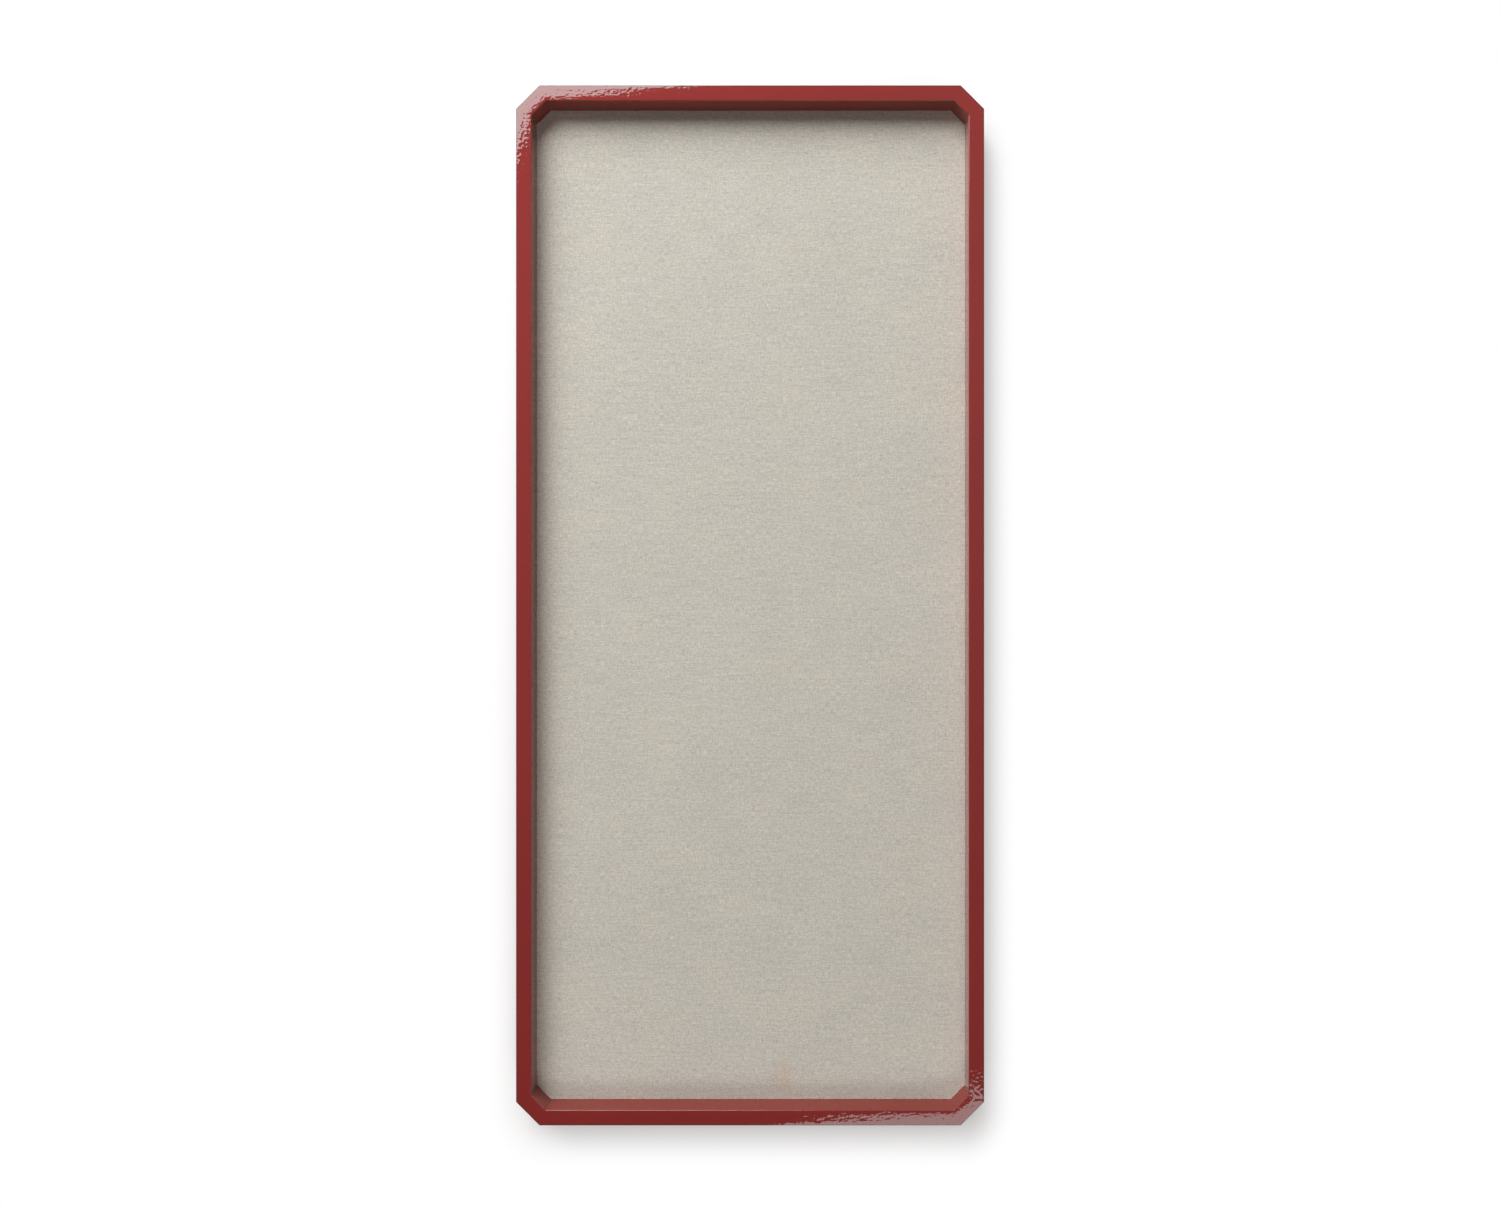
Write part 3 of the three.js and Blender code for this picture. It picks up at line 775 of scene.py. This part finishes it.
def staple_mesh(place, way):
    """One flattened-wire staple: a crown on the cloth with both legs turned down into the panel."""
    half, leg, bend = 5.2, 2.6, 0.55
    wide, thick = 0.62, 0.30
    along = Vector((math.cos(way), 0, math.sin(way)))
    up = Vector((0, 1, 0))
    over = up.cross(along)
    centre = Vector((place.x, LINEN_BACK_Y + 0.22, place.y))
    path = [(-half, -leg, -90)]
    for i in range(4):
        angle = math.pi / 2 * i / 3
        x, y = -half + bend * (1 - math.cos(angle)), -bend + bend * math.sin(angle)
        path.append((x, y, -90 + 30 * i))
    path += [(-x, y, -tilt) for x, y, tilt in path[::-1]]
    points = []
    for x, y, tilt in path:
        angle = math.radians(tilt)
        out = up * math.cos(angle) + along * math.sin(angle)
        middle = centre + along * x + up * y
        for m in range(8):
            turn = math.pi * (m + 0.5) / 4
            points.append(middle + over * (wide * math.cos(turn)) + out * (thick * math.sin(turn)))
    return points, tube_faces(len(path), 8)


points, faces = joined(staple_mesh(place, way) for place, way in STAPLES)
staples = closed_mesh("linen_staples", points, faces, 60)
finish_piece(staples, STAPLE, "board")


# The hardware at the back

def refined(node, name, material, body, edge):
    """A finer piece on a CAD node's own shape: clean faces and softened edges."""
    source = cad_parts[node].data
    shape = bmesh.new()
    merged = {}
    kept = []
    for v in source.vertices:
        key = tuple(round(c, 7) for c in v.co)
        if key not in merged:
            merged[key] = shape.verts.new(v.co)
        kept.append(merged[key])
    for polygon in source.polygons:
        ring = [kept[i] for i in polygon.vertices]
        if len(set(ring)) == len(ring) and not shape.faces.get(ring):
            shape.faces.new(ring)
    bmesh.ops.recalc_face_normals(shape, faces=shape.faces)
    bmesh.ops.dissolve_limit(
        shape, angle_limit=math.radians(1.0), verts=shape.verts, edges=shape.edges,
    )
    turned = [e for e in shape.edges if e.is_manifold and e.calc_face_angle(0) > SOFTENED_ABOVE]
    bmesh.ops.bevel(
        shape, geom=turned, offset=edge * MM, offset_type="OFFSET",
        segments=2, profile=0.6, affect="EDGES", clamp_overlap=True,
    )
    mesh = bpy.data.meshes.new(name)
    shape.to_mesh(mesh)
    shape.free()
    for polygon in mesh.polygons:
        polygon.use_smooth = True
    mesh.set_sharp_from_angle(angle=SHARP_ABOVE)
    piece = bpy.data.objects.new(name, mesh)
    bpy.context.scene.collection.objects.link(piece)
    weighted = piece.modifiers.new("even_shading", "WEIGHTED_NORMAL")
    weighted.keep_sharp = True
    finish_piece(piece, material, body, [node])


for n in range(1, 9):
    button, screw = f"turn_button_{n}", f"turn_button_screw_{n}"
    refined(button, f"zinc_button_{n}", ZINC, button, 0.2)
    refined(screw, f"button_pan_head_{n}", ZINC, "board", 0.08)


def quarter(start, corner, end, steps):
    """Points after the start of a quarter round, as a cubic curve that follows a circle."""
    pull = 0.5523
    a, b = start.lerp(corner, pull), end.lerp(corner, pull)
    made = []
    for i in range(1, steps + 1):
        t = i / steps
        u = 1 - t
        made.append(start * u ** 3 + a * 3 * t * u ** 2 + b * 3 * t * t * u + end * t ** 3)
    return made


def smooth_ring(side):
    """The hanger's D-shaped wire ring as one smooth tube, butted at the middle of its bar."""
    node = f"{side}_hanger_ring"
    low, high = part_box(node)
    centre_x = (low.x + high.x) / 2 / MM
    reach, half, straight, bend, wire, gap = 16.0, 10.0, 6.0, 2.0, 1.2, 0.3
    lean = math.asin(1 / 16)
    path = [Vector((gap / 2, 0)), Vector((half - bend, 0))]
    path += quarter(path[-1], Vector((half, 0)), Vector((half, bend)), 6)
    path.append(Vector((half, straight)))
    path += quarter(path[-1], Vector((half, reach)), Vector((0, reach)), 14)
    path += [Vector((-p.x, p.y)) for p in path[::-1][1:]]
    sides = 16
    points = []
    for i, p in enumerate(path):
        before = path[max(0, i - 1)]
        after = path[min(len(path) - 1, i + 1)]
        way = (after - before).normalized()
        across = Vector((-way.y, way.x))
        for m in range(sides):
            turn = 2 * math.pi * m / sides
            flat = p + across * wire * math.cos(turn)
            depth = wire * math.sin(turn)
            y = depth * math.cos(lean) - flat.y * math.sin(lean)
            z = depth * math.sin(lean) + flat.y * math.cos(lean)
            points.append((centre_x + flat.x, RING_PIVOT_Y + y, RING_PIVOT_Z + z))
    piece = closed_mesh(f"{side}_d_ring", points, tube_faces(len(path), sides), 50)
    finish_piece(piece, BRASS, node, [node])


for side in ("left", "right"):
    smooth_ring(side)
    strap, strap_name = f"{side}_hanger_strap", f"{side}_d_ring_strap"
    refined(strap, strap_name, BRASS, "board", 0.12)
    for level in ("upper", "lower"):
        screw, screw_name = f"{side}_hanger_{level}_screw", f"{side}_strap_{level}_pan_head"
        refined(screw, screw_name, BRASS, "board", 0.08)


def bumper(corner):
    """A moulded rubber foot: tapered side, rounded rim and a slight dish in its face."""
    node = f"{corner}_bumper"
    low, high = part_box(node)
    x, z = (low.x + high.x) / 2 / MM, (low.z + high.z) / 2 / MM
    rim, rounding = 3.05, 0.8
    profile = [(4.5, -5.0), (4.45, -4.7)]
    for i in range(7):
        angle = math.pi / 2 * i / 6
        profile.append((rim + rounding * math.cos(angle), -rounding + rounding * math.sin(angle)))
    profile += [(2.4, -0.06), (1.6, -0.18), (0.8, -0.25)]
    sides = 40
    points = []
    for radius, y in profile:
        for m in range(sides):
            turn = 2 * math.pi * m / sides
            points.append((x + radius * math.cos(turn), y, z + radius * math.sin(turn)))
    piece = closed_mesh(f"rubber_foot_{corner}", points, tube_faces(len(profile), sides), 50)
    finish_piece(piece, RUBBER, "board", [node])


for corner in ("upper_left", "upper_right", "lower_left", "lower_right"):
    bumper(corner)

# The panel's inner layers and the splines keep their CAD shapes.
inner_pieces = {"cork_sheet": CORK, "plywood_backer": BIRCH}
inner_pieces.update({f"mitre_spline_{n}": BEECH for n in range(1, 9)})
for node, material in inner_pieces.items():
    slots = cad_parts[node].data.materials
    slots.clear()
    slots.append(material)


# The wall, the world, the lamps and the camera

def white_wall():
    """White paint, seen from the front only, so that light from behind reaches the board's back. It
    keeps the board's shadow near the board, glows less where the board is near as a painted shade,
    and is plain white to the camera further out."""
    s = Shader(bpy.data.materials.new("white_wall"))
    rays = s.add("ShaderNodeLightPath").outputs
    seen = s.calc("MAXIMUM", rays["Is Camera Ray"], rays["Is Glossy Ray"])
    seen = s.calc("MAXIMUM", seen, rays["Is Transmission Ray"])
    facing = s.calc("SUBTRACT", 1.0, s.add("ShaderNodeNewGeometry").outputs["Backfacing"])
    seen = s.calc("MULTIPLY", seen, facing)
    paint = s.add("ShaderNodeBsdfDiffuse", {"Color": rgb(0.55, 0.55, 0.55)}).outputs[0]
    # The wall glows, less where the board is near: a painted shade around the board's edges.
    near = s.add("ShaderNodeAmbientOcclusion", {"Distance": 50 * MM}, samples=8).outputs["AO"]
    glow_with_painted_shade = s.emission(s.remap(near, 0.0, 1.0, 0.04, 0.47))
    shaded = s.add("ShaderNodeAddShader")
    s.give_all(shaded, (0, 1), (paint, glow_with_painted_shade))
    white = s.emission(1.0)
    x, _, z = s.split(s.place())
    beside = s.calc("SUBTRACT", s.calc("ABSOLUTE", x), (BOARD_WIDTH / 2 - 14) * MM)
    beside = s.calc("MULTIPLY", s.calc("MAXIMUM", beside, 0.0), 1.2)
    beyond = s.calc("SUBTRACT", s.calc("ABSOLUTE", z), BOARD_HEIGHT / 2 * MM)
    beyond = s.calc("MAXIMUM", beyond, 0.0)
    far = s.calc("ADD", s.calc("POWER", beside, 2.0), s.calc("POWER", beyond, 2.0))
    far = s.remap(s.calc("SQRT", far), 10 * MM, 66 * MM, smooth=True)
    clear = s.add("ShaderNodeBsdfTransparent").outputs[0]
    return s.show(s.mix_shaders(seen, clear, s.mix_shaders(far, shaded.outputs[0], white)))


wall_corners = ((-1, -1), (1, -1), (1, 1), (-1, 1))
wall = make_mesh(
    "wall", [(x * WALL_REACH, WALL_Y, z * WALL_REACH) for x, z in wall_corners],
    [(0, 1, 2, 3)], smooth=False,
)
wall.data.materials.append(white_wall())


def white_studio():
    """A world that is white to the camera and in reflections, and dim for everything else."""
    s = Shader(bpy.data.worlds.new("white_studio"), "ShaderNodeOutputWorld")
    rays = s.add("ShaderNodeLightPath").outputs
    seen = s.calc("MAXIMUM", rays["Is Camera Ray"], rays["Is Glossy Ray"])
    seen = s.calc("MAXIMUM", seen, rays["Is Transmission Ray"])
    # Reflections see a dimmer room below the board's middle than above it.
    height = s.split(s.add("ShaderNodeTexCoord").outputs["Generated"])[2]
    room = s.remap(height, -0.42, 0.25, 0.5, 1.0)
    room = s.calc("MAXIMUM", room, rays["Is Camera Ray"])
    level = s.remap(seen, 0.0, 1.0, 0.05, room)
    tint = s.blend(seen, rgb(1.0, 0.93, 0.83), rgb(1, 1, 1))
    sky = s.add("ShaderNodeBackground", {"Color": tint, "Strength": level})
    return s.show(sky.outputs[0])


bpy.context.scene.world = white_studio()


def lamp(name, place, target, size, watts, colour=(1, 1, 1)):
    data = bpy.data.lights.new(name, "AREA")
    data.shape = "DISK"
    data.size = size
    data.energy = watts
    data.color = colour
    made = bpy.data.objects.new(name, data)
    aim = (Vector(target) - Vector(place)).to_track_quat("-Z", "Y")
    made.matrix_world = Matrix.Translation(Vector(place)) @ aim.to_matrix().to_4x4()
    made.visible_camera = False
    bpy.context.scene.collection.objects.link(made)


lamp("key_disc", (-0.859, -1.363, 1.835), (0, 0, 0), 2.096, 93)
lamp("low_disc", (0.495, -2.018, -1.945), (0.495, 0, -1.945), 1.24, 18, (1.0, 0.90, 0.88))
lamp("left_disc", (-1.676, -2.078, -2.679), (0, 0, -0.1), 1.72, 6)
lamp("back_disc", (1.3, 2.9, 1.9), (0, 0, 0), 2.4, 110)
lamp("back_fill", (-2.2, 2.4, -0.6), (0, 0, 0), 2.0, 35)

camera_data = bpy.data.cameras.new("camera")
camera_data.sensor_width = 36
camera_data.lens = 28.39
camera_data.shift_x = -0.02474
camera_data.shift_y = -0.01934
camera_data.clip_end = 50
camera = bpy.data.objects.new("camera", camera_data)
camera.location = (0.0356, -1.182, 0.02875)
camera.rotation_euler = (math.pi / 2, 0, 0)
bpy.context.scene.collection.objects.link(camera)
bpy.context.scene.camera = camera
bpy.context.scene.view_settings.view_transform = "Standard"
